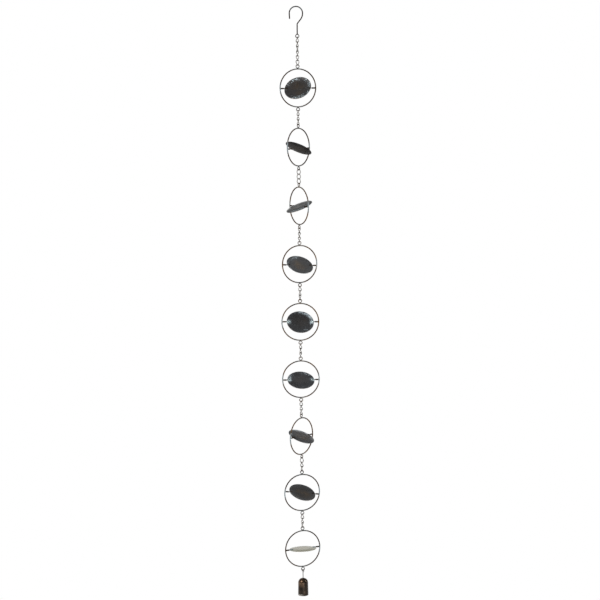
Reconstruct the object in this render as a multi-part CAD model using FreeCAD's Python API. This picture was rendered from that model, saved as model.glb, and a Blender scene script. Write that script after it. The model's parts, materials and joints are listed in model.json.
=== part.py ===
import FreeCAD, Part
import math
import os

from FreeCAD import Vector

# A rain chain of bent and welded wire, in millimetres with +Z up. The origin is the point inside
# the hook's bend, straight above the chain, where the hook bears on its support.

# How each hoop hangs, in degrees: its turn about the vertical from facing front, its dish's turn
# on its axle, and how far out of level its axle was welded. The rise, in millimetres, is how far
# the axle was welded from the hoop's middle.
HOOP_TURNS = (-18.9, 54.0, -60.2, 22.7, 7.0, 7.5, 52.7, 18.7, 20.4)
DISH_TURNS = (53.4, 28.0, 204.0, 35.9, 225.3, 210.3, 203.6, 25.0, 175.7)
AXLE_SLOPES = (-0.2, 1.0, 0.0, -3.4, -1.4, -0.8, -2.5, -8.9, 0.8)
AXLE_RISES = (-1.0, -4.4, -1.4, -3.2, 0.4, -1.8, -0.2, -1.0, 0.2)

# Two wires that hang in each other stay this far apart.
CONTACT_GAP = 0.2

# Chain
FIRST_RUN_LINKS = 6
RUN_LINKS = 3
LINK_WIRE = 2.2
LINK_INNER_LENGTH = 14.05
LINK_WIDTH = 12.4
LINK_TWIST = 90.0
LINK_LEG_SLOPE = 36.0
RUN_LOOSEST_TURN = 20.0

# Eyes, welded to the hook and the hoops
EYE_WIRE = 2.4
EYE_INNER_DIAMETER = 7.6
EYE_WELD_SINK = 0.2
EYE_BEAD_DIAMETER = 4.6

# Hook
HOOK_WIRE = 3.6
HOOK_DROP = 90.0
HOOK_BEND_RADIUS = 20.0
HOOK_BEND_OFFSET = 3.4
HOOK_SIDE_LENGTH = 0.6
HOOK_SHOULDER_RADIUS = 29.0
HOOK_NECK_RADIUS = 6.0
HOOK_SLANT = 38.0
HOOK_TIP_LENGTH = 16.0
HOOK_TIP_LEAN = 2.7

# Hoops and the sleeves that hold the axles
HOOP_DIAMETER = 117.6
HOOP_WIRE = 3.6
SLEEVE_DIAMETER = 4.4
SLEEVE_LENGTH = 10.0
SLEEVE_BEAD_DIAMETER = 5.2
SLEEVE_BORE_FLOOR = 0.3

# Dishes
DISH_DIAMETER = 84.0
DISH_DEPTH = 2.4
DISH_SHEET = 1.6
AXLE_DIAMETER = 2.6
AXLE_LAP = 6.0
AXLE_CLEARANCE = 0.08
AXLE_END_FLOAT = 0.4
BRAZE_LENGTH = 10.0
BRAZE_DIAMETER = 4.4

# Bell, its hanger and its clapper
BELL_SHOULDER_DIAMETER = 31.2
BELL_MOUTH_DIAMETER = 32.6
BELL_HEIGHT = 53.5
BELL_CROWN_HEIGHT = 14.5
BELL_WALL = 1.6
BELL_HOLE_CLEARANCE = 0.3
BELL_SEAT_GAP = 0.1
HANGER_WIRE = 2.2
HANGER_LOOP_INNER = 5.4
HANGER_NECK_RADIUS = 3.0
HANGER_DROP = 26.0
HANGER_TURN = -50.0
CLAPPER_WIRE = 1.8
CLAPPER_LOOP_INNER = 5.0
CLAPPER_BALL_DIAMETER = 9.6
CLAPPER_BALL_RISE = 8.5
LOOP_SWEEP = 296.0

ORIGIN = Vector(0, 0, 0)
X = Vector(1, 0, 0)
Y = Vector(0, 1, 0)
Z = Vector(0, 0, 1)

eye_radius = (EYE_INNER_DIAMETER + EYE_WIRE) / 2
eye_outer_radius = EYE_INNER_DIAMETER / 2 + EYE_WIRE
hoop_radius = (HOOP_DIAMETER - HOOP_WIRE) / 2
hoop_inner_radius = HOOP_DIAMETER / 2 - HOOP_WIRE
hoop_eye_height = HOOP_DIAMETER / 2 + eye_outer_radius - EYE_WELD_SINK
hoop_bearing = hoop_eye_height + EYE_INNER_DIAMETER / 2
bore_end = hoop_inner_radius - SLEEVE_BORE_FLOOR
hoop_count = len(HOOP_TURNS)


def direction(degrees):
    """The level direction at an angle from +X."""
    angle = math.radians(degrees)
    return Vector(math.cos(angle), math.sin(angle), 0)


def turned(shape, axis, degrees):
    copy = shape.copy()
    copy.rotate(ORIGIN, axis, degrees)
    return copy


def hung(shape, turn, height):
    """A copy turned about the vertical and set at a height on the chain's axis."""
    copy = turned(shape, Z, turn)
    copy.translate(Vector(0, 0, height))
    return copy


def line(start, end):
    return Part.LineSegment(start, end).toShape()


def arc(start, corner, end):
    """The arc from start to end whose end tangents meet in corner."""
    weight = (end - start).Length / (2 * (corner - start).Length)
    middle = (start + corner * (2 * weight) + end) * (1 / (2 + 2 * weight))
    return Part.Arc(start, middle, end).toShape()


def tangent_arcs(start, leaving, end, arriving):
    """Two arcs that run smoothly from one point and direction to another."""
    chord = end - start
    turn = 1 - leaving.dot(arriving)
    along = chord.dot(leaving + arriving)
    reach = (math.sqrt(along ** 2 + 2 * turn * chord.dot(chord)) - along) / (2 * turn)
    first = start + leaving * reach
    second = end - arriving * reach
    meeting = (first + second) * 0.5
    return [arc(start, first, meeting), arc(meeting, second, end)]


def wire_along(edges, diameter):
    """Round wire along a path of lines and arcs."""
    start = edges[0].valueAt(edges[0].FirstParameter)
    heading = edges[0].tangentAt(edges[0].FirstParameter)
    section = Part.Wire(Part.Circle(start, heading, diameter / 2).toShape())
    return Part.Wire(edges).makePipeShell([section], True, False)


def ring(radius, wire, height):
    """A closed ring of wire that faces front."""
    return Part.makeTorus(radius, wire / 2, Vector(0, 0, height), Y)


def bead(diameter, centre):
    return Part.makeSphere(diameter / 2, centre)


def twisted_link():
    """One link about its own middle: the upper bow lies along X, the lower one is twisted from it."""
    top = Vector(0, 0, (LINK_INNER_LENGTH + LINK_WIRE) / 2)
    waist = direction(LINK_TWIST / 2) * ((LINK_WIDTH - LINK_WIRE) / 2)
    slope = math.radians(LINK_LEG_SLOPE)
    heading = direction(LINK_TWIST / 2 + 90) * math.sin(slope) - Z * math.cos(slope)
    path = tangent_arcs(top, X, waist, heading)
    path += tangent_arcs(waist, heading, top * -1, direction(LINK_TWIST) * -1)
    half = wire_along(path, LINK_WIRE)
    return half.fuse(turned(half, Z, 180))


def hook():
    """The hook in the plane that faces front, with the eye at its foot."""
    inner = HOOK_BEND_RADIUS - HOOK_WIRE / 2
    bend_x = -HOOK_BEND_OFFSET
    bend_z = -math.sqrt(inner ** 2 - HOOK_BEND_OFFSET ** 2)
    side_x = bend_x + HOOK_BEND_RADIUS
    side_foot = Vector(side_x, 0, bend_z - HOOK_SIDE_LENGTH)
    slant = math.radians(HOOK_SLANT)
    aim = Vector(math.sin(slant), 0, math.cos(slant))
    bends = HOOK_NECK_RADIUS + HOOK_SHOULDER_RADIUS
    slant_length = (side_x - bends * (1 - math.cos(slant))) / math.sin(slant)
    shoulder_corner = side_foot - Z * (HOOK_SHOULDER_RADIUS * math.tan(slant / 2))
    shoulder_foot = shoulder_corner - aim * (HOOK_SHOULDER_RADIUS * math.tan(slant / 2))
    neck_top = shoulder_foot - aim * slant_length
    neck_corner = neck_top - aim * (HOOK_NECK_RADIUS * math.tan(slant / 2))
    neck_foot = neck_corner - Z * (HOOK_NECK_RADIUS * math.tan(slant / 2))
    eye_z = EYE_INNER_DIAMETER / 2 - HOOK_DROP
    shank_foot = Vector(0, 0, eye_z + eye_outer_radius - EYE_WELD_SINK)
    lean = math.radians(HOOK_TIP_LEAN)
    bend_centre = Vector(bend_x, 0, bend_z)
    bend_end = bend_centre + Vector(-math.cos(lean), 0, -math.sin(lean)) * HOOK_BEND_RADIUS
    tip = bend_end + Vector(math.sin(lean), 0, -math.cos(lean)) * HOOK_TIP_LENGTH
    path = [
        line(shank_foot, neck_foot),
        arc(neck_foot, neck_corner, neck_top),
        line(neck_top, shoulder_foot),
        arc(shoulder_foot, shoulder_corner, side_foot),
        line(side_foot, Vector(side_x, 0, bend_z)),
        Part.Arc(Vector(side_x, 0, bend_z), bend_centre + Z * HOOK_BEND_RADIUS, bend_end).toShape(),
        line(bend_end, tip),
    ]
    wire = wire_along(path, HOOK_WIRE)
    tip_edge = min(wire.Edges, key=lambda edge: (edge.CenterOfMass - tip).Length)
    wire = wire.makeFillet(0.4 * HOOK_WIRE, [tip_edge])
    eye = ring(eye_radius, EYE_WIRE, eye_z)
    return wire.multiFuse([eye, bead(EYE_BEAD_DIAMETER, shank_foot)])


def on_axle(shape, slope, rise):
    """A copy moved from the hoop's middle line to the line on which its axle was welded."""
    copy = turned(shape, Y, -slope)
    copy.translate(Z * rise)
    return copy


def hoop(slope, rise):
    """A hoop about its centre, with both eyes, and with both sleeves on the axle's own line."""
    welded = []
    bores = []
    for side in (1, -1):
        welded.append(ring(eye_radius, EYE_WIRE, side * hoop_eye_height))
        welded.append(bead(EYE_BEAD_DIAMETER, Z * (side * HOOP_DIAMETER / 2)))
        out = X * side
        sleeve_start = out * (hoop_inner_radius - SLEEVE_LENGTH)
        sleeve_end = hoop_inner_radius + HOOP_WIRE / 4
        sleeve = Part.makeCylinder(
            SLEEVE_DIAMETER / 2, sleeve_end - sleeve_start.Length, sleeve_start, out
        )
        welded.append(on_axle(sleeve, slope, rise))
        welded.append(on_axle(bead(SLEEVE_BEAD_DIAMETER, out * hoop_inner_radius), slope, rise))
        bore = Part.makeCylinder(AXLE_DIAMETER / 2 + AXLE_CLEARANCE, bore_end, ORIGIN, out)
        bores.append(on_axle(bore, slope, rise))
    wire = ring(hoop_radius, HOOP_WIRE, 0)
    return wire.multiFuse(welded).cut(bores)


def dish():
    """A dish on its axle line, X, with its hollow side up and its weight balanced on that line."""
    radius = DISH_DIAMETER / 2
    rim = radius - DISH_SHEET / 2
    curve = (rim ** 2 + DISH_DEPTH ** 2) / (2 * DISH_DEPTH)
    centre = Vector(0, 0, curve)
    spread = math.asin(rim / curve)

    def surface(distance, share):
        angle = spread * share
        return centre + Vector(math.sin(angle), 0, -math.cos(angle)) * distance

    upper = curve - DISH_SHEET / 2
    lower = curve + DISH_SHEET / 2
    edge = surface(curve, 1) + Vector(math.cos(spread), 0, math.sin(spread)) * (DISH_SHEET / 2)
    outline = Part.Wire([
        line(surface(lower, 0), surface(upper, 0)),
        Part.Arc(surface(upper, 0), surface(upper, 0.5), surface(upper, 1)).toShape(),
        Part.Arc(surface(upper, 1), edge, surface(lower, 1)).toShape(),
        Part.Arc(surface(lower, 1), surface(lower, 0.5), surface(lower, 0)).toShape(),
    ])
    bowl = Part.Face(outline).revolve(ORIGIN, Z, 360)
    bowl.translate(Vector(0, 0, -bowl.CenterOfMass.z))
    fixed = []
    for side in (1, -1):
        out = X * side
        lap = radius - AXLE_LAP
        pin_length = bore_end - AXLE_END_FLOAT - lap
        fixed.append(Part.makeCylinder(AXLE_DIAMETER / 2, pin_length, out * lap, out))
        inner = out * (radius - BRAZE_LENGTH)
        middle = out * (radius - BRAZE_LENGTH / 2) + Z * (BRAZE_DIAMETER / 2)
        outer = out * radius
        half = Part.Wire([Part.Arc(inner, middle, outer).toShape(), line(outer, inner)])
        fixed.append(Part.Face(half).revolve(ORIGIN, X, 360))
    return bowl.multiFuse(fixed)


def loop_path(radius, neck, facing):
    """An open loop about the origin, from its free end to where its neck meets the stem's line.

    The stem runs down from the loop where facing is 1, and up from it where facing is -1."""
    neck_z = -math.sqrt(radius ** 2 + 2 * radius * neck)
    start = math.degrees(math.atan2(neck_z, neck))

    def on_loop(degrees):
        angle = math.radians(degrees)
        return Vector(radius * math.cos(angle), 0, facing * radius * math.sin(angle))

    stem = Vector(0, 0, facing * neck_z)
    joint = on_loop(start)
    neck_centre = Vector(neck, 0, facing * neck_z)
    toward = (joint - neck_centre) + (stem - neck_centre)
    neck_middle = neck_centre + toward * (neck / toward.Length)
    middle = start + LOOP_SWEEP / 2
    end = start + LOOP_SWEEP
    return [
        Part.Arc(on_loop(end), on_loop((middle + end) / 2), on_loop(middle)).toShape(),
        Part.Arc(on_loop(middle), on_loop((start + middle) / 2), joint).toShape(),
        Part.Arc(joint, neck_middle, stem).toShape(),
    ]


def moved(edges, height):
    for edge in edges:
        edge.translate(Vector(0, 0, height))
    return edges


def stem_length(radius, neck):
    """From a loop's centre to where its neck meets the stem."""
    return math.sqrt(radius ** 2 + 2 * radius * neck)


def backwards(edges):
    """The same arcs in the opposite order, each run the other way."""
    back = []
    for edge in reversed(edges):
        first, last = edge.ParameterRange
        points = [edge.valueAt(value) for value in (last, (first + last) / 2, first)]
        back.append(Part.Arc(*points).toShape())
    return back


def bell():
    """The bell, hanging from the top of its crown."""
    shoulder = BELL_SHOULDER_DIAMETER / 2
    mouth = BELL_MOUTH_DIAMETER / 2
    flare = Vector(mouth - shoulder, 0, BELL_CROWN_HEIGHT - BELL_HEIGHT).normalize()

    def side(inset):
        top = Vector(0, 0, -inset)
        turn = Vector(shoulder - inset, 0, -BELL_CROWN_HEIGHT)
        foot = Vector(mouth - inset, 0, -BELL_HEIGHT)
        return top, foot, tangent_arcs(top, X, turn, flare) + [line(turn, foot)]

    outer_top, outer_foot, outside = side(0)
    inner_top, inner_foot, inside = side(BELL_WALL)
    edges = outside + [line(outer_foot, inner_foot)] + inside + [line(inner_top, outer_top)]
    outline = Part.Wire(Part.__sortEdges__(edges))
    cup = Part.Face(outline).revolve(ORIGIN, Z, 360)
    hole_radius = HANGER_WIRE / 2 + BELL_HOLE_CLEARANCE
    hole = Part.makeCylinder(hole_radius, 3 * BELL_WALL, Vector(0, 0, -2 * BELL_WALL), Z)
    return cup.cut(hole)


def bell_hanger():
    """The hanger, from the underside of its upper loop's top."""
    radius = (HANGER_LOOP_INNER + HANGER_WIRE) / 2
    stem = stem_length(radius, HANGER_NECK_RADIUS)
    upper = moved(loop_path(radius, HANGER_NECK_RADIUS, 1), -HANGER_LOOP_INNER / 2)
    stem_top = Vector(0, 0, -HANGER_LOOP_INNER / 2 - stem)
    lower = moved(loop_path(radius, HANGER_NECK_RADIUS, -1), hanger_foot)
    stem_foot = Vector(0, 0, hanger_foot + stem)
    return wire_along(upper + [line(stem_top, stem_foot)] + backwards(lower), HANGER_WIRE)


def clapper():
    """The clapper, from the underside of its loop's top."""
    radius = (CLAPPER_LOOP_INNER + CLAPPER_WIRE) / 2
    stem = stem_length(radius, HANGER_NECK_RADIUS)
    path = moved(loop_path(radius, HANGER_NECK_RADIUS, 1), -CLAPPER_LOOP_INNER / 2)
    stem_top = Vector(0, 0, -CLAPPER_LOOP_INNER / 2 - stem)
    path.append(line(stem_top, Vector(0, 0, -clapper_length)))
    ball = bead(CLAPPER_BALL_DIAMETER, Vector(0, 0, -clapper_length))
    return wire_along(path, CLAPPER_WIRE).fuse(ball)


def run_step(turn_above, turn_below, links):
    """How much further than a right angle each piece of a run turns on the one above it."""
    contacts = links + 1
    wound = turn_below - turn_above - 90 * (contacts + links)
    wound = (wound - RUN_LOOSEST_TURN) % 180 - (180 - RUN_LOOSEST_TURN)
    return wound / contacts


def save(name, shape):
    solids = shape.Solids
    if len(solids) != 1 or not solids[0].isValid():
        raise ValueError(name + " is not one sound solid")
    solids[0].exportStep(os.path.join("parts", name + ".step"))


os.makedirs("parts", exist_ok=True)

# Heights inside the bell, from the underside of the hanger's upper loop
hanger_loop_radius = (HANGER_LOOP_INNER + HANGER_WIRE) / 2
crown_height = -HANGER_DROP - CONTACT_GAP
crown_inside = crown_height - BELL_WALL
hanger_foot = crown_inside - BELL_SEAT_GAP - stem_length(hanger_loop_radius, HANGER_NECK_RADIUS)
clapper_height = hanger_foot - HANGER_LOOP_INNER / 2 + CONTACT_GAP
ball_height = crown_height - BELL_HEIGHT + CLAPPER_BALL_RISE
clapper_length = clapper_height - ball_height

# From the hook down: each run of links, then the hoop it carries and that hoop's dish
save("hook", hook())
link = twisted_link()
balanced_dish = dish()
height = -HOOK_DROP
turn_above = 0.0
links_so_far = 0
stations = {}
for number in range(hoop_count):
    links = RUN_LINKS if number else FIRST_RUN_LINKS
    step = run_step(turn_above, HOOP_TURNS[number], links)
    bow = turn_above
    for _ in range(links):
        links_so_far += 1
        name = f"chain_link_{links_so_far:02d}"
        turn = bow + 90 + step
        stations[name] = (height, bow, turn)
        save(name, hung(link, turn, height + CONTACT_GAP - LINK_INNER_LENGTH / 2))
        bow = turn + LINK_TWIST
        height += CONTACT_GAP - LINK_INNER_LENGTH
    turn = HOOP_TURNS[number]
    centre = height + CONTACT_GAP - hoop_bearing
    slope = AXLE_SLOPES[number]
    rise = AXLE_RISES[number]
    stations[f"hoop_{number + 1}"] = (height, bow, turn)
    save(f"hoop_{number + 1}", hung(hoop(slope, rise), turn, centre))
    tilted_dish = on_axle(turned(balanced_dish, X, DISH_TURNS[number]), slope, rise)
    save(f"dish_{number + 1}", hung(tilted_dish, turn, centre))
    height = centre - hoop_bearing
    turn_above = turn

# The bell on the last hoop
stations["bell_hanger"] = (height, turn_above, HANGER_TURN)
loop_top = height + CONTACT_GAP
save("bell_hanger", hung(bell_hanger(), HANGER_TURN, loop_top))
save("bell", hung(bell(), HANGER_TURN, loop_top + crown_height))
stations["clapper"] = (loop_top + hanger_foot - HANGER_LOOP_INNER / 2, HANGER_TURN, HANGER_TURN + 90)
save("clapper", hung(clapper(), HANGER_TURN + 90, loop_top + clapper_height))
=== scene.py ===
from collections import namedtuple
import json
import math
import random

import bpy
import bmesh
from mathutils import Matrix, Vector, kdtree, noise


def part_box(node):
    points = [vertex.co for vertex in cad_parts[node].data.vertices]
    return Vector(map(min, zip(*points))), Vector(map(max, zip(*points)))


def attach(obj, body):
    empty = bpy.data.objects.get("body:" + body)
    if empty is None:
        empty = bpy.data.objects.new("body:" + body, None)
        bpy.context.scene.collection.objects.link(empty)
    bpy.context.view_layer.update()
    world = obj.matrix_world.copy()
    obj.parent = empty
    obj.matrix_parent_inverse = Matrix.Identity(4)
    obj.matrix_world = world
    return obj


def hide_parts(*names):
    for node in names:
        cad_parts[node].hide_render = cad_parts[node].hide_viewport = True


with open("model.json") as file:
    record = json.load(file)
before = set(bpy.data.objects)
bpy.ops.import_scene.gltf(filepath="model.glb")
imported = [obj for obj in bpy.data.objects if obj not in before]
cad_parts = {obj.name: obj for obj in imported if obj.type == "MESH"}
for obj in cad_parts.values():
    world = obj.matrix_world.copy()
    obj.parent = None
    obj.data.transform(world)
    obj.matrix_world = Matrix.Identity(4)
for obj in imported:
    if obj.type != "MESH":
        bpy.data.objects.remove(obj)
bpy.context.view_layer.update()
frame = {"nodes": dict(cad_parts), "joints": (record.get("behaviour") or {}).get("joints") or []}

MM = 0.001

# The chain as it was built, in millimetres and degrees
HOOP_TURNS = (-18.9, 54.0, -60.2, 22.7, 7.0, 7.5, 52.7, 18.7, 20.4)
DISH_TURNS = (53.4, 28.0, 204.0, 35.9, 225.3, 210.3, 203.6, 25.0, 175.7)
AXLE_SLOPES = (-0.2, 1.0, 0.0, -3.4, -1.4, -0.8, -2.5, -8.9, 0.8)
HOOP_PITCH = 178.55
HOOP_RADIUS = 58.8
WELD_DROP = 12.2
DISH_RADIUS = 42.0
DISH_DEPTH = 2.4
DISH_SHEET = 1.6
DISH_FLAT = 20.0
DISH_SINK = 0.9
AXLE_RADIUS = 1.3
AXLE_LAP = 6.0
AXLE_REACH = 54.5
BRAZE_LENGTH = 12.0
BRAZE_WIDTH = 7.6
BRAZE_HEIGHT = 4.4
BELL_SHOULDER = 15.6
BELL_MOUTH = 16.3
BELL_HEIGHT = 53.5
BELL_CROWN = 14.5
BELL_WALL = 1.6
BELL_HOLE = 1.4

# Hammer work on the dishes, in millimetres
BLOW_SPACING = 9.0
BLOW_JITTER = 0.36
BLOW_MARGIN = 10.0
BLOW_REACH = 6.0
BLOW_LEVEL = 14.0
BLOW_STRENGTH = 0.0035
BLOW_STRENGTH_AT_RIM = 0.004
BLOW_FADE = 2.5
WAVER_HEIGHT = 0.20
WAVER_SCALE = 0.06
WAVER_STEP = 3.7
EDGE_WOBBLE = 0.006
FIRST_DISH_SEED = 40

# Hammer work on the bell, in millimetres
BELL_SEED = 7
BELL_BLOWS = 420
BELL_BLOW_RADIUS = 16
BELL_BLOW_REACH = 3.4
BELL_BLOW_STRENGTH = 0.007
BELL_BLOW_LEVEL = 0.06
BELL_BLOW_FADE = 9.0
BELL_CROWN_SWELL = 0.92
BELL_CROWN_FALL = 0.95
BELL_LIP_DROP = 0.35

# The two ends of an axle pin: millimetres from the end, and the share of its radius there
PIN_INNER_END = ((0.0, 0.75), (0.4, 1.0))
PIN_OUTER_END = ((0.5, 1.0), (0.15, 0.86), (0.0, 0.6))

# The lumps of brazing metal
BRAZE_SWELL = 0.8
BRAZE_TIP = 0.08
BRAZE_WOBBLE = 0.30
BRAZE_WOBBLE_ALONG = 0.35
BRAZE_WOBBLE_ROUND = 1.6
BRAZE_WOBBLE_STEP = 5.3

# How finely the meshes are divided
DISH_SEGMENTS = 160
DISH_RINGS = 46
DISH_RING_CROWDING = 0.9
DISH_RIM_STEPS = 6
PIN_SEGMENTS = 24
BRAZE_SEGMENTS = 28
BRAZE_ROWS = 18
BELL_SEGMENTS = 120
BELL_CROWN_ROWS = 22
BELL_SIDE_ROWS = 52
BELL_LIP_TURNS = (45, 90, 135)

# Where a finish starts and where it is full, in millimetres
WELD_HIGHLIGHT_SPREAD = (7.0, 2.5)
SIDE_REFLECTION_HEIGHT = (24.0, 8.0)
SIDE_REFLECTION_REACH = (53.0, 56.0)
SLEEVE_INNER_END = (43.0, 44.5)
SLEEVE_OUTER_END = (53.4, 52.4)
SLEEVE_HEIGHT = (17.0, 15.0)
DISH_HEART = (34.0, 8.0)
RIM_GLINT_INNER = (27.0, 35.0)
RIM_GLINT_OUTER = (41.6, 40.4)
BRAZED_END_ALONG = (25.0, 36.0)
BRAZED_END_ACROSS = (11.0, 4.0)
DISH_RIM = (39.6, 41.8)
BELL_HIGHLIGHT_HEIGHT = (-30.0, -13.0)
BELL_HIGHLIGHT_SIDE = (6.0, -4.0)
BELL_LIP_HEIGHT = (-46.0, -51.5)
BELL_LIP_SIDE = (2.0, -6.0)

# How far the small marks in the finishes stand up, in metres
FINE_RELIEF = 0.0003
COARSE_RELIEF = 0.0004
# Mirror light from the dull skin of a wire
WIRE_GLINT = 0.15


class Tone:
    """A socket of a material's nodes. Arithmetic on it adds Math nodes."""

    def __init__(self, tree, socket=None):
        self.tree = tree
        self.socket = socket

    def node(self, kind, settings=None, inputs=None, out=0):
        """Adds a node, sets it up, feeds its sockets and gives back one of its outputs."""
        made = self.tree.nodes.new(kind)
        for key, value in (settings or {}).items():
            setattr(made, key, value)
        for key, value in (inputs or {}).items():
            if isinstance(value, Tone):
                self.tree.links.new(value.socket, made.inputs[key])
            else:
                made.inputs[key].default_value = value
        return Tone(self.tree, made.outputs[out]) if made.outputs else None

    def sibling(self, out):
        """Another output of the same node."""
        return Tone(self.tree, self.socket.node.outputs[out])

    def maths(self, operation, *terms, clamp=False):
        settings = {"operation": operation, "use_clamp": clamp}
        return self.node("ShaderNodeMath", settings, dict(enumerate(terms)))

    def __add__(self, other):
        return self.maths("ADD", self, other)

    def __radd__(self, other):
        return self.maths("ADD", other, self)

    def __sub__(self, other):
        return self.maths("SUBTRACT", self, other)

    def __rsub__(self, other):
        return self.maths("SUBTRACT", other, self)

    def __mul__(self, other):
        return self.maths("MULTIPLY", self, other)

    def __rmul__(self, other):
        return self.maths("MULTIPLY", other, self)

    def __mod__(self, other):
        return self.maths("FLOORED_MODULO", self, other)

    def __rmod__(self, other):
        return self.maths("FLOORED_MODULO", other, self)

    def root(self):
        return self.maths("SQRT", self)

    def size(self):
        return self.maths("ABSOLUTE", self)

    def limited(self):
        return self.maths("ADD", self, 0.0, clamp=True)

    def step(self, low, high):
        """0 up to low, 1 from high, and a soft rise between them; falls where low is above high."""
        settings = {"interpolation_type": "SMOOTHSTEP"}
        limits = {"From Min": low, "From Max": high}
        if low > high:
            limits = {"From Min": high, "From Max": low, "To Min": 1.0, "To Max": 0.0}
        return self.node("ShaderNodeMapRange", settings, dict(limits, Value=self))

    def step_mm(self, limits):
        """A step between two lengths in millimetres."""
        low, high = limits
        return self.step(low * MM, high * MM)

    def mix(self, first, second):
        """The first colour where this is 0 and the second where it is 1."""
        inputs = {0: self, 6: first, 7: second}
        return self.node("ShaderNodeMix", {"data_type": "RGBA"}, inputs, 2)

    def place(self, about=None):
        """The surface's own coordinates in metres, or those about the place of one of its pieces."""
        own = self.node("ShaderNodeTexCoord", out=3)
        if about is None:
            return own
        inputs = {"Vector": own, "Location": about.to_translation(), "Rotation": about.to_euler()}
        return self.node("ShaderNodeMapping", {"vector_type": "TEXTURE"}, inputs)

    def parts(self):
        """The three numbers of a vector."""
        split = self.node("ShaderNodeSeparateXYZ", inputs={0: self})
        return [split.sibling(axis) for axis in range(3)]

    def cloud(self, scale, detail=3.0, rough=0.55, seed=0.0):
        """Soft noise over a place, about 0.5 on average."""
        settings = {"noise_dimensions": "4D"}
        inputs = {"Vector": self, "W": seed, "Scale": scale, "Detail": detail, "Roughness": rough}
        return self.node("ShaderNodeTexNoise", settings, inputs)

    def bump(self, strength, distance):
        inputs = {"Strength": strength, "Distance": distance, "Height": self}
        return self.node("ShaderNodeBump", inputs=inputs)


def colour(red, green, blue):
    return (red, green, blue, 1.0)


BLACK = colour(0, 0, 0)
WHITE = colour(1, 1, 1)


def finish_named(name):
    """A new material: itself, a Tone to build its nodes from, and its surface shader's inputs."""
    material = bpy.data.materials.new(name)
    material.use_nodes = True
    material.node_tree.nodes.clear()
    start = Tone(material.node_tree)
    shader = start.node("ShaderNodeBsdfPrincipled")
    start.node("ShaderNodeOutputMaterial", inputs={"Surface": shader})
    return material, start, shader.socket.node.inputs


def feed(inputs, **values):
    """Sets or links the shader's inputs; an underscore in a name stands for a space."""
    for name, value in values.items():
        socket = inputs[name.replace("_", " ")]
        if isinstance(value, Tone):
            value.tree.links.new(value.socket, socket)
        else:
            socket.default_value = value


def wire_finish(name, hoop_top, shade):
    """Brown-black wire rubbed at the high spots, with sooty sleeves and painted blue highlights at
    welds and sides.
    """
    black = colour(0.050 * shade, 0.025 * shade, 0.007 * shade)
    brown = colour(0.200 * shade, 0.110 * shade, 0.036 * shade)
    rubbed_brown = colour(0.30, 0.19, 0.085)
    painted_weld_highlight = colour(0.19, 0.23, 0.25)
    painted_side_reflection = colour(0.38, 0.47, 0.52)
    sleeve_soot = colour(0.016, 0.011, 0.008)
    grazing_brown = colour(0.60, 0.34, 0.12)
    material, start, inputs = finish_named(name)
    place = start.place()
    x, y, z = place.parts()
    across = (x * x + y * y).root()
    level = (hoop_top * MM - z) % (HOOP_PITCH * MM)
    from_middle = (level - (WELD_DROP + HOOP_RADIUS) * MM).size()
    broad = place.cloud(45.0, 3.0)
    fine = place.cloud(420.0, 4.0, 0.6, 2.0)
    base = broad.step(0.35, 0.68).mix(black, brown)
    worn = (fine * 0.55 + broad * 0.45).step(0.57, 0.69)
    base = (worn * 0.5 * shade).mix(base, rubbed_brown)
    # Painted highlight: pale blue flecks at the welds, where the wire catches the light
    near_weld = (from_middle - HOOP_RADIUS * MM).size().step_mm(WELD_HIGHLIGHT_SPREAD)
    tint = near_weld * fine.step(0.28, 0.60)
    base = (tint * 0.5).mix(base, painted_weld_highlight)
    # Painted reflection: pale blue patches on the sides of a hoop, where the wire turns away
    side_reflection_mask = from_middle.step_mm(SIDE_REFLECTION_HEIGHT) * across.step_mm(SIDE_REFLECTION_REACH)
    side_reflection_mask = side_reflection_mask * place.cloud(9.0, 1.0, 0.5, 8.0).step(0.44, 0.52)
    base = (side_reflection_mask * 0.6).mix(base, painted_side_reflection)
    sleeve = across.step_mm(SLEEVE_OUTER_END) * across.step_mm(SLEEVE_INNER_END)
    sleeve = sleeve * from_middle.step_mm(SLEEVE_HEIGHT)
    base = (sleeve * 0.85).mix(base, sleeve_soot)
    rough = 0.36 + broad * 0.20 + fine * 0.12 - tint * 0.10
    height = fine * 0.6 + place.cloud(1500.0, 2.0, 0.5, 5.0) * 0.4
    relief = height.bump(0.2, FINE_RELIEF)
    feed(inputs, Base_Color=base, Metallic=0.4, Roughness=rough, Normal=relief)
    feed(inputs, Specular_Tint=grazing_brown, Specular_IOR_Level=WIRE_GLINT)
    return material


def chain_finish(name, dark, pale, edge, sheen):
    """Wire from dark to pale in soft patches, with specks of dirt."""
    dirt_brown = colour(0.05, 0.04, 0.03)
    material, start, inputs = finish_named(name)
    place = start.place()
    broad = place.cloud(110.0, 3.0)
    fine = place.cloud(700.0, 4.0, 0.6, 3.0)
    base = broad.step(0.36, 0.66).mix(dark, pale)
    dirt = fine.step(0.58, 0.70) * 0.7
    base = dirt.mix(base, dirt_brown)
    rough = 0.28 + broad * 0.20 + dirt * 0.25
    height = fine * 0.7 + broad * 0.3
    relief = height.bump(0.3, FINE_RELIEF)
    feed(inputs, Base_Color=base, Metallic=sheen, Roughness=rough, Normal=relief)
    feed(inputs, Specular_Tint=edge, Specular_IOR_Level=WIRE_GLINT)
    return material


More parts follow.
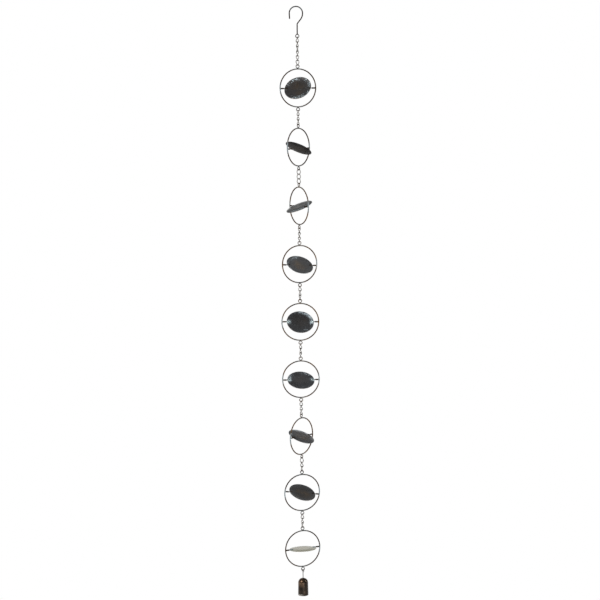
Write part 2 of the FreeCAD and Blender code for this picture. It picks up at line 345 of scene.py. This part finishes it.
def dish_finish(name, about, look, brazed, seed):
    """Blackened hammered sheet: a brown heart, soot in places, painted pale blue highlights by rim and
    pins.
    """
    red, green, blue = look.tone
    cold = colour(red, green, blue)
    warm = colour(1.30 * red, 0.97 * green, 0.67 * blue)
    sooty = colour(0.47 * red, 0.41 * green, 0.36 * blue)
    painted_glint_blue = colour(0.56, 0.67, 0.73)
    rim_brown = colour(0.16, 0.12, 0.085)
    grazing = min(1.0, 0.5 + 5.0 * green)
    lean_x, lean_y = look.lean
    material, start, inputs = finish_named(name)
    place = start.place(about)
    x, y, _ = place.parts()
    across = (x * x + y * y).root()
    broad = place.cloud(34.0, 3.0, 0.5, seed)
    fine = place.cloud(300.0, 4.0, 0.6, seed + 4.0)
    heart = across.step_mm(DISH_HEART) * broad.step(0.28, 0.60)
    browned = heart * look.warmth + broad.step(0.50, 0.72) * 0.4 * look.warmth
    base = browned.limited().mix(cold, warm)
    soot = (broad * 0.8 + fine * 0.2).step(0.52, 0.42) * look.sheen
    base = (soot * 0.45).mix(base, sooty)
    # Painted glints: pale blue flecks scattered over the sheet
    painted_glint_flecks = place.cloud(150.0, 2.0, 0.6, seed + 9.0).step(0.56, 0.70)
    base = (painted_glint_flecks * (0.16 * look.bright)).mix(base, painted_glint_blue)
    # Painted highlights: pale blue by the rim, leaning to one side
    near_rim = across.step_mm(RIM_GLINT_INNER) * across.step_mm(RIM_GLINT_OUTER)
    leaning = x * (lean_x / (DISH_RADIUS * MM)) + y * (lean_y / (DISH_RADIUS * MM))
    pale = near_rim * (fine * 0.55 + broad * 0.45 + leaning).step(0.53, 0.60)
    # Painted highlights: pale blue on the sheet where the pins are brazed on
    painted_end_highlights = x.size().step_mm(BRAZED_END_ALONG) * y.size().step_mm(BRAZED_END_ACROSS)
    painted_end_highlights = painted_end_highlights * fine.step(0.36, 0.56)
    pale = (pale + painted_end_highlights * brazed).limited() * look.bright
    base = pale.mix(base, painted_glint_blue)
    rim = across.step_mm(DISH_RIM) * broad.step(0.40, 0.60)
    base = (rim * 0.5 * look.sheen).mix(base, rim_brown)
    metal = look.sheen - pale * 0.6
    rough = 0.20 + broad * 0.14 + soot * 0.12 - rim * 0.04
    relief = fine.bump(0.08, FINE_RELIEF)
    feed(inputs, Base_Color=base, Metallic=metal, Roughness=rough, Normal=relief)
    feed(inputs, Specular_Tint=colour(grazing, grazing, grazing))
    return material


def braze_finish(name, dark, pale):
    """Brazing metal in dark and pale blue-green patches with black specks; the pale blue-green is
    partly a painted highlight.
    """
    speck_black = colour(0.09, 0.08, 0.07)
    material, start, inputs = finish_named(name)
    place = start.place()
    broad = place.cloud(260.0, 3.0)
    fine = place.cloud(900.0, 3.0, 0.6, 2.0)
    base = broad.step(0.40, 0.62).mix(dark, pale)
    base = fine.step(0.62, 0.74).mix(base, speck_black)
    rough = 0.26 + fine * 0.22
    relief = fine.bump(0.5, COARSE_RELIEF)
    feed(inputs, Base_Color=base, Metallic=0.85, Roughness=rough, Normal=relief)
    return material


def bell_finish(name, crown):
    """Dark bronze with a painted warm highlight high on the left, and rubbed pale on the left of the
    lip.
    """
    dark_bronze = colour(0.012, 0.0085, 0.006)
    brown_bronze = colour(0.036, 0.025, 0.017)
    rubbed_bronze = colour(0.17, 0.115, 0.070)
    painted_highlight_bronze = colour(0.30, 0.18, 0.105)
    lip_grey = colour(0.50, 0.46, 0.41)
    material, start, inputs = finish_named(name)
    place = start.place(Matrix.Translation(crown))
    x, _, z = place.parts()
    broad = place.cloud(55.0, 4.0, 0.6, 1.0)
    fine = place.cloud(420.0, 4.0, 0.62, 6.0)
    base = broad.step(0.34, 0.68).mix(dark_bronze, brown_bronze)
    rubbed = (broad * 0.75 + fine * 0.25).step(0.54, 0.66)
    base = (rubbed * 0.25).mix(base, rubbed_bronze)
    # Painted highlight: warm brown high on the left, where the light falls
    upper = z.step_mm(BELL_HIGHLIGHT_HEIGHT) * x.step_mm(BELL_HIGHLIGHT_SIDE) * fine.step(0.30, 0.60)
    base = (upper * 0.4).mix(base, painted_highlight_bronze)
    lip = z.step_mm(BELL_LIP_HEIGHT) * x.step_mm(BELL_LIP_SIDE) * fine.step(0.36, 0.58)
    base = (lip * 0.7).mix(base, lip_grey)
    rough = 0.18 + broad * 0.14 - lip * 0.04
    height = fine * 0.6 + place.cloud(1200.0, 2.0, 0.5, 3.0) * 0.4
    relief = height.bump(0.1, COARSE_RELIEF)
    feed(inputs, Base_Color=base, Metallic=0.8, Roughness=rough, Normal=relief)
    return material


def piece(name, work, finishes, place):
    """Makes an object of finished mesh work, in millimetres, with its points put in their place."""
    bmesh.ops.scale(work, vec=Vector((MM, MM, MM)), verts=work.verts)
    bmesh.ops.transform(work, matrix=place, verts=work.verts)
    bmesh.ops.recalc_face_normals(work, faces=work.faces)
    mesh = bpy.data.meshes.new(name)
    work.to_mesh(mesh)
    work.free()
    for face in mesh.polygons:
        face.use_smooth = True
    made = bpy.data.objects.new(name, mesh)
    bpy.context.scene.collection.objects.link(made)
    for finish in finishes:
        mesh.materials.append(finish)
    return made


def skin(work, rows, material=0, closed=False):
    """Joins rows of points, each a closed ring, into one surface."""
    made = [[work.verts.new(point) for point in row] for row in rows]
    pairs = list(zip(made, made[1:]))
    if closed:
        pairs.append((made[-1], made[0]))
    for lower, upper in pairs:
        count = len(lower)
        for i in range(count):
            j = (i + 1) % count
            face = work.faces.new((lower[i], lower[j], upper[j], upper[i]))
            face.material_index = material
    return made


def cap(work, ring_of_verts, point, material=0):
    """Closes a ring with a fan about a point."""
    tip = work.verts.new(point)
    count = len(ring_of_verts)
    for i in range(count):
        face = work.faces.new((ring_of_verts[i], ring_of_verts[(i + 1) % count], tip))
        face.material_index = material


def hammer_marks(seed, spread):
    """Centres of hammer blows over a square, on a jittered grid."""
    draw = random.Random(seed)
    count = int(2 * spread / BLOW_SPACING) + 2
    marks = kdtree.KDTree(count * count)
    for row in range(count):
        for column in range(count):
            shift = 0.5 * (row % 2)
            x = (column + shift + draw.uniform(-BLOW_JITTER, BLOW_JITTER)) * BLOW_SPACING - spread
            y = (row + draw.uniform(-BLOW_JITTER, BLOW_JITTER)) * BLOW_SPACING - spread
            marks.insert((x, y, 0.0), row * count + column)
    marks.balance()
    return marks


def hammered_dish(name, number, finishes, place):
    """A hammered dish on its axle line, X, hollow side up, with its two brazed axle pins."""
    marks = hammer_marks(FIRST_DISH_SEED + number, DISH_RADIUS + BLOW_MARGIN)
    half = DISH_SHEET / 2
    rim = DISH_RADIUS - half

    def dent(x, y):
        near = marks.find((x, y, 0.0))[2]
        waver = noise.noise(Vector((x * WAVER_SCALE, y * WAVER_SCALE, number * WAVER_STEP)))
        from_centre = math.hypot(x, y)
        fade = min(1.0, max(0.0, (DISH_RADIUS - from_centre) / BLOW_FADE))
        strength = BLOW_STRENGTH + BLOW_STRENGTH_AT_RIM * min(1.0, from_centre / DISH_RADIUS) ** 3
        return fade * strength * (min(near, BLOW_REACH) ** 2 - BLOW_LEVEL) + WAVER_HEIGHT * waver

    def sheet_point(radius, angle, offset):
        spot = Vector((math.cos(angle) * 2, math.sin(angle) * 2, number))
        edge = 1 + EDGE_WOBBLE * noise.noise(spot)
        x = radius * edge * math.cos(angle)
        y = radius * edge * math.sin(angle)
        z = DISH_DEPTH * (max(0.0, radius - DISH_FLAT) / (rim - DISH_FLAT)) ** 2 - DISH_SINK
        return Vector((x, y, z + offset + dent(x, y)))

    angles = [2 * math.pi * i / DISH_SEGMENTS for i in range(DISH_SEGMENTS)]
    radii = [rim * (i / DISH_RINGS) ** DISH_RING_CROWDING for i in range(1, DISH_RINGS + 1)]
    rows = [[sheet_point(r, a, -half) for a in angles] for r in radii]
    for step in range(1, DISH_RIM_STEPS):
        turn = math.pi * step / DISH_RIM_STEPS - math.pi / 2
        out = half * math.cos(turn)
        row = []
        for a in angles:
            point = sheet_point(rim, a, half * math.sin(turn))
            row.append(point + Vector((math.cos(a), math.sin(a), 0)) * out)
        rows.append(row)
    rows += [[sheet_point(r, a, half) for a in angles] for r in reversed(radii)]
    work = bmesh.new()
    made = skin(work, rows)
    cap(work, made[0], sheet_point(0, 0, -half))
    cap(work, made[-1], sheet_point(0, 0, half))
    for side in (1, -1):
        axle_pin(work, side)
        braze_lump(work, side, number)
    return piece(name, work, finishes, place)


def round_row(x, wide, high, count, wobble=None):
    """A ring of points round the X axis, with its half-width and half-height."""
    row = []
    for i in range(count):
        angle = 2 * math.pi * i / count
        reach = 1.0 if wobble is None else wobble(x, angle)
        row.append(Vector((x, reach * wide * math.cos(angle), reach * high * math.sin(angle))))
    return row


def axle_pin(work, side):
    """One axle pin, with the burr rounded off its outer end."""
    start = DISH_RADIUS - AXLE_LAP
    stations = [(start + along, share) for along, share in PIN_INNER_END]
    stations += [(AXLE_REACH - along, share) for along, share in PIN_OUTER_END]
    rows = []
    for x, share in stations:
        radius = AXLE_RADIUS * share
        rows.append(round_row(side * x, radius, radius, PIN_SEGMENTS))
    made = skin(work, rows, 1)
    cap(work, made[0], Vector((side * start, 0, 0)), 1)
    cap(work, made[-1], Vector((side * AXLE_REACH, 0, 0)), 1)


def braze_lump(work, side, number):
    """The lump of brazing metal that holds a pin to the sheet, run out along the pin."""
    def wobble(x, angle):
        spot = Vector((
            x * BRAZE_WOBBLE_ALONG,
            BRAZE_WOBBLE_ROUND * math.cos(angle),
            BRAZE_WOBBLE_ROUND * math.sin(angle) + number * BRAZE_WOBBLE_STEP,
        ))
        return 1 + BRAZE_WOBBLE * noise.noise(spot)

    inner = DISH_RADIUS - BRAZE_LENGTH
    rows = []
    for i in range(1, BRAZE_ROWS):
        share = i / BRAZE_ROWS
        swell = max(BRAZE_TIP, math.sin(math.pi * share) ** BRAZE_SWELL)
        x = side * (inner + BRAZE_LENGTH * share)
        wide = swell * BRAZE_WIDTH / 2
        high = swell * BRAZE_HEIGHT / 2
        rows.append(round_row(x, wide, high, BRAZE_SEGMENTS, wobble))
    made = skin(work, rows, 2)
    cap(work, made[0], Vector((side * inner, 0, 0)), 2)
    cap(work, made[-1], Vector((side * DISH_RADIUS, 0, 0)), 2)


def round_the_bell(angle, height, radius=BELL_BLOW_RADIUS):
    return Vector((radius * math.cos(angle), radius * math.sin(angle), height))


def bell_marks():
    """Centres of hammer blows, scattered over the bell from its crown down."""
    draw = random.Random(BELL_SEED)
    marks = kdtree.KDTree(BELL_BLOWS)
    for i in range(BELL_BLOWS):
        height = -BELL_HEIGHT * (i + draw.random()) / BELL_BLOWS
        angle = draw.uniform(0, 2 * math.pi)
        marks.insert(round_the_bell(angle, height), i)
    marks.balance()
    return marks


def bell_section(inset, share):
    """A point of the bell's section, inset from its outside: the crown up to share 1, then the side."""
    if share <= 1:
        turn = share * math.pi / 2
        radius = (BELL_SHOULDER - inset) * math.sin(turn) ** BELL_CROWN_SWELL
        fall = 1 - math.cos(turn) ** BELL_CROWN_FALL
        return radius, -inset - (BELL_CROWN - inset) * fall
    down = share - 1
    radius = BELL_SHOULDER - inset + (BELL_MOUTH - BELL_SHOULDER) * down
    return radius, -BELL_CROWN - (BELL_HEIGHT - BELL_CROWN) * down


def hammered_bell(name, finishes, place):
    """The bell below its crown, beaten over a stake so that its outside is faintly faceted."""
    marks = bell_marks()

    def row(radius, height, beaten=False):
        points = []
        for i in range(BELL_SEGMENTS):
            angle = 2 * math.pi * i / BELL_SEGMENTS
            reach = radius
            if beaten:
                near = marks.find(round_the_bell(angle, height))[2]
                dent = BELL_BLOW_STRENGTH * min(near, BELL_BLOW_REACH) ** 2 - BELL_BLOW_LEVEL
                reach += min(1.0, radius / BELL_BLOW_FADE) * dent
            points.append(round_the_bell(angle, height, reach))
        return points

    steps = [i / BELL_CROWN_ROWS for i in range(BELL_CROWN_ROWS + 1)]
    steps += [1 + i / BELL_SIDE_ROWS for i in range(1, BELL_SIDE_ROWS + 1)]
    outside = [bell_section(0.0, share) for share in steps]
    inside = [bell_section(BELL_WALL, share) for share in steps[::2]]
    outside = [point for point in outside if point[0] > BELL_HOLE]
    inside = [point for point in inside if point[0] > BELL_HOLE]
    rows = [row(BELL_HOLE, outside[0][1])]
    rows += [row(radius, height, True) for radius, height in outside]
    lip = BELL_MOUTH - BELL_WALL / 2
    for turn in BELL_LIP_TURNS:
        angle = math.radians(turn)
        reach = lip + BELL_WALL / 2 * math.cos(angle)
        rows.append(row(reach, -BELL_HEIGHT - BELL_LIP_DROP * math.sin(angle)))
    rows += [row(radius, height) for radius, height in reversed(inside)]
    rows.append(row(BELL_HOLE, inside[0][1]))
    work = bmesh.new()
    skin(work, rows, closed=True)
    return piece(name, work, finishes, place)


# Finishes of the wires, the brazing and the bell
DARK_HOOPS = ("hoop_1", "hoop_2", "hoop_8", "hoop_9")
hoop_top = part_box("hoop_1")[1].z / MM
dark_hoop_wire = wire_finish("dark_hoop_wire", hoop_top, 0.25)
tan_hoop_wire = wire_finish("tan_hoop_wire", hoop_top, 0.7)
hook_wire = wire_finish("hook_wire", hoop_top, 0.08)
sooty_black = colour(0.014, 0.010, 0.007)
dark_edge = colour(0.40, 0.32, 0.25)
pale_edge = colour(0.80, 0.78, 0.75)
chain_dark = colour(0.10, 0.088, 0.074)
chain_pale = colour(0.30, 0.285, 0.265)
chain_wire = chain_finish("chain_wire", chain_dark, chain_pale, pale_edge, 0.9)
bell_wire = chain_finish("bell_wire", sooty_black, colour(0.05, 0.037, 0.027), dark_edge, 0.4)
pin_wire = chain_finish("pin_wire", sooty_black, colour(0.045, 0.035, 0.026), dark_edge, 0.4)
# Pale blue-green brazing metal: partly its own colour, partly a painted highlight
braze = braze_finish("brazing_metal", colour(0.30, 0.43, 0.45), colour(0.60, 0.65, 0.64))
dull_braze = braze_finish("dull_brazing_metal", colour(0.10, 0.16, 0.19), colour(0.22, 0.30, 0.33))
crown = Vector((0.0, 0.0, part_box("bell")[1][2]))
bronze = bell_finish("bell_bronze", crown)

# Each dish's tone, browning, strength of painted rim highlights, the side that they lean to, and sheen
DishLook = namedtuple("DishLook", "tone warmth bright lean sheen")
DISH_LOOKS = (
    DishLook((0.132, 0.132, 0.136), 0.9, 1.0, (0.03, 0.0), 0.9),
    DishLook((0.060, 0.057, 0.056), 0.9, 0.05, (0.0, 0.0), 0.9),
    DishLook((0.116, 0.120, 0.121), 0.3, 0.5, (0.08, 0.0), 0.9),
    DishLook((0.236, 0.250, 0.264), 0.8, 0.6, (-0.04, 0.05), 0.9),
    DishLook((0.122, 0.126, 0.135), 0.3, 0.9, (0.06, -0.08), 0.9),
    DishLook((0.150, 0.158, 0.172), 0.2, 0.9, (-0.03, -0.07), 0.9),
    DishLook((0.168, 0.175, 0.184), 0.6, 0.8, (0.0, -0.08), 0.9),
    DishLook((0.143, 0.147, 0.151), 0.9, 0.15, (0.0, 0.0), 0.9),
    DishLook((0.322, 0.320, 0.250), 0.15, 0.0, (0.0, 0.0), 0.25),
)
DISH_CLOUD_STEP = 1.9
# The dishes whose brazing takes a finish with painted highlights, and that finish
HIGHLIGHTED_BRAZES = {5: braze, 6: braze, 9: dull_braze}

for name, node in frame["nodes"].items():
    finish = chain_wire
    if name.startswith("hoop"):
        finish = dark_hoop_wire if name in DARK_HOOPS else tan_hoop_wire
    if name == "hook":
        finish = hook_wire
    if name in ("bell_hanger", "clapper"):
        finish = bell_wire
    node.data.materials.clear()
    node.data.materials.append(finish)

# Dishes
joint_places = {joint["name"]: Vector(joint["pos_m"]) for joint in frame["joints"]}
for number, (turn, tilt, slope) in enumerate(zip(HOOP_TURNS, DISH_TURNS, AXLE_SLOPES), 1):
    node = f"dish_{number}"
    place = (
        Matrix.Translation(joint_places[node + "_turn"])
        @ Matrix.Rotation(math.radians(turn), 4, "Z")
        @ Matrix.Rotation(math.radians(-slope), 4, "Y")
        @ Matrix.Rotation(math.radians(tilt), 4, "X")
    )
    look = DISH_LOOKS[number - 1]
    seed = number * DISH_CLOUD_STEP
    sheet = dish_finish(f"hammered_sheet_{number}", place, look, number in HIGHLIGHTED_BRAZES, seed)
    lump = HIGHLIGHTED_BRAZES.get(number, pin_wire)
    made = hammered_dish(f"hammered_dish_{number}", number, (sheet, pin_wire, lump), place)
    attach(made, node)
    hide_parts(node)

# Bell
made = hammered_bell("beaten_bell", (bronze,), Matrix.Translation(crown))
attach(made, "bell")
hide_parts("bell")

# Floor: pale near the chain, and white like the background further out
FLOOR_HEIGHT = -2.2
FLOOR_HALF_WIDTH_MM = 30000.0
FLOOR_GREY = colour(0.86, 0.86, 0.86)
FLOOR_FADE_SQUARE_METRES = (0.35, 1.3)
floor_work = bmesh.new()
bmesh.ops.create_grid(floor_work, x_segments=2, y_segments=2, size=FLOOR_HALF_WIDTH_MM)
floor_finish, start, inputs = finish_named("pale_floor")
rays = start.node("ShaderNodeLightPath")
seen = (rays.sibling("Is Camera Ray") + rays.sibling("Is Glossy Ray")).limited()
floor_x, floor_y, _ = start.place().parts()
away = floor_x * floor_x + floor_y * floor_y
far = seen * away.step(*FLOOR_FADE_SQUARE_METRES)
pale = far.mix(FLOOR_GREY, BLACK)
glow = far.mix(BLACK, WHITE)
feed(inputs, Base_Color=pale, Emission_Color=glow, Emission_Strength=1.0)
feed(inputs, Roughness=0.9, Specular_IOR_Level=0.0)
floor = piece("pale_floor", floor_work, (floor_finish,), Matrix.Translation((0, 0, FLOOR_HEIGHT)))

# The room: white to the camera, and for mirror light white behind the chain and grey elsewhere
ROOM_GREY = colour(0.21, 0.21, 0.212)
FILL_STRENGTH = 0.45
world = bpy.data.worlds.new("studio")
bpy.context.scene.world = world
world.use_nodes = True
world.node_tree.nodes.clear()
sky = Tone(world.node_tree)
rays = sky.node("ShaderNodeLightPath")
_, dy, dz = sky.node("ShaderNodeTexCoord", out=0).parts()
behind = dy.step(-0.15, 0.55) * dz.step(0.52, 0.16)
room = behind.mix(ROOM_GREY, WHITE)
mirror = sky.node("ShaderNodeBackground", inputs={"Color": room, "Strength": 1.0})
fill = sky.node("ShaderNodeBackground", inputs={"Color": WHITE, "Strength": FILL_STRENGTH})
white = sky.node("ShaderNodeBackground", inputs={"Color": WHITE, "Strength": 1.0})
glossy = rays.sibling("Is Glossy Ray")
camera_ray = rays.sibling("Is Camera Ray")
lit = sky.node("ShaderNodeMixShader", inputs={0: glossy, 1: fill, 2: mirror})
shown = sky.node("ShaderNodeMixShader", inputs={0: camera_ray, 1: lit, 2: white})
sky.node("ShaderNodeOutputWorld", inputs={"Surface": shown})

# Lamps
CHAIN_MIDDLE = Vector((0, 0, -0.9))
WARM_WHITE = (1.0, 0.96, 0.92)


def softbox(name, place, width, height, power, tint=(1, 1, 1)):
    """A soft lamp that faces the middle of the chain."""
    data = bpy.data.lights.new(name, "AREA")
    data.shape = "RECTANGLE"
    data.size = width
    data.size_y = height
    data.energy = power
    data.color = tint
    lamp = bpy.data.objects.new(name, data)
    lamp.location = place
    lamp.rotation_euler = (CHAIN_MIDDLE - Vector(place)).to_track_quat("-Z", "Y").to_euler()
    bpy.context.scene.collection.objects.link(lamp)


softbox("left_softbox", (-2.6, -2.2, 1.0), 1.2, 2.4, 90, WARM_WHITE)
softbox("right_softbox", (2.8, -0.6, 0.4), 0.8, 2.4, 50)
softbox("floor_bounce", (0.4, -1.6, -2.1), 1.6, 1.2, 16)

# Camera
CAMERA_PLACE = Vector((-0.0003, -4.707, -0.3891))
CAMERA_PITCH = 6.05
CAMERA_ROLL = -0.62
CAMERA_SENSOR = 36.0
CAMERA_LENS = 92.34
camera_data = bpy.data.cameras.new("camera")
camera_data.sensor_width = CAMERA_SENSOR
camera_data.lens = CAMERA_LENS
camera = bpy.data.objects.new("camera", camera_data)
camera.matrix_world = (
    Matrix.Translation(CAMERA_PLACE)
    @ Matrix.Rotation(math.radians(90 - CAMERA_PITCH), 4, "X")
    @ Matrix.Rotation(math.radians(CAMERA_ROLL), 4, "Z")
)
bpy.context.scene.collection.objects.link(camera)
bpy.context.scene.camera = camera
bpy.context.scene.view_settings.view_transform = "Standard"
